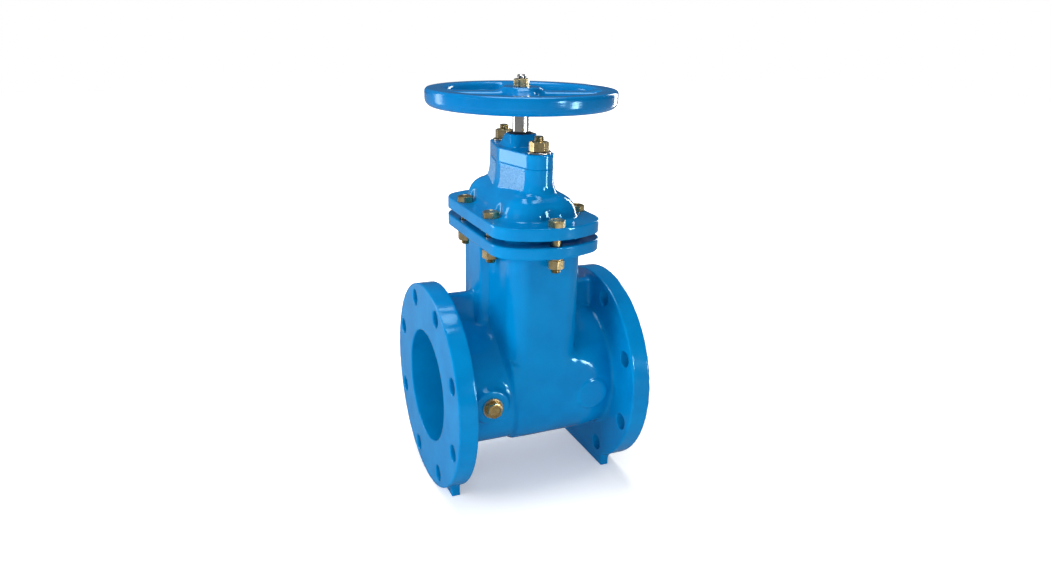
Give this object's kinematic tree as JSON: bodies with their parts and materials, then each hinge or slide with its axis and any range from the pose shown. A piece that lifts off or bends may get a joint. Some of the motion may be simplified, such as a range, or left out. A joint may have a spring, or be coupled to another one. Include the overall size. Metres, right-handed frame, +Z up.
{
  "type": "gate valve",
  "caption": "Flanged non-rising-stem gate valve: a handwheel turns the stem, which lifts a rubber-faced wedge out of the straight pipe bore into the bolted bonnet.",
  "frame": {"origin": "on the floor under the stem axis, midway between the pipe flanges", "axes": "+X along the pipe from inlet to outlet, +Z up the stem; the drain plug faces -Y"},
  "size_m": [0.2666, 0.2794, 0.5472],
  "materials": {
    "casting_paint": "glossy blue powder coating over a cast surface",
    "wheel_paint": "glossy blue powder coating",
    "gasket_rubber": "matte black",
    "zinc_fastener": "yellow zinc plate, semi-gloss",
    "zinc_washer": "yellow zinc plate, semi-gloss",
    "bush_bronze": "machined",
    "seal_rubber": "matte black",
    "wiper_rubber": "satin black",
    "thrust_plastic": "off-white, matte",
    "plug_brass": "machined, slightly worn",
    "plug_washer": "satin",
    "stem_steel": "turned and polished",
    "wedge_iron": "cast",
    "wedge_rubber": "matte black",
    "nut_bronze": "machined",
    "shoe_plastic": "off-white, matte"
  },
  "bodies": {
    "valve": {"body_casting": "casting_paint", "bonnet_casting": "casting_paint", "bonnet_gasket": "gasket_rubber", "bonnet_bolts": "zinc_fastener", "bonnet_nuts": "zinc_fastener", "gland_studs": "zinc_fastener", "gland_nuts": "zinc_fastener", "gland_washers": "zinc_washer", "gland_housing": "casting_paint", "gland_bush": "bush_bronze", "lower_stem_seal": "seal_rubber", "upper_stem_seal": "seal_rubber", "stem_wiper": "wiper_rubber", "gland_seal": "seal_rubber", "lower_thrust_washer": "thrust_plastic", "upper_thrust_washer": "thrust_plastic", "drain_plug": "plug_brass", "drain_plug_washer": "plug_washer"},
    "spindle": {"stem": "stem_steel", "handwheel": "wheel_paint", "handwheel_nut": "zinc_fastener"},
    "wedge": {"wedge_core": "wedge_iron", "wedge_rubber": "wedge_rubber", "stem_nut": "nut_bronze", "guide_shoes": "shoe_plastic"}
  },
  "joints": [
    {"name": "stem_spin", "type": "hinge", "parent": "valve", "child": "spindle", "pos_m": [0, 0, 0.5207], "axis": [0, 0, 1], "range_deg": [0, 7060]},
    {"name": "wedge_lift", "type": "slide", "parent": "valve", "child": "wedge", "axis": [0, 0, 1], "range_m": [0, 0.157]}
  ],
  "couplings": [
    {"joint": "wedge_lift", "follows": "stem_spin", "m_per_rad": 0.0012732}
  ]
}
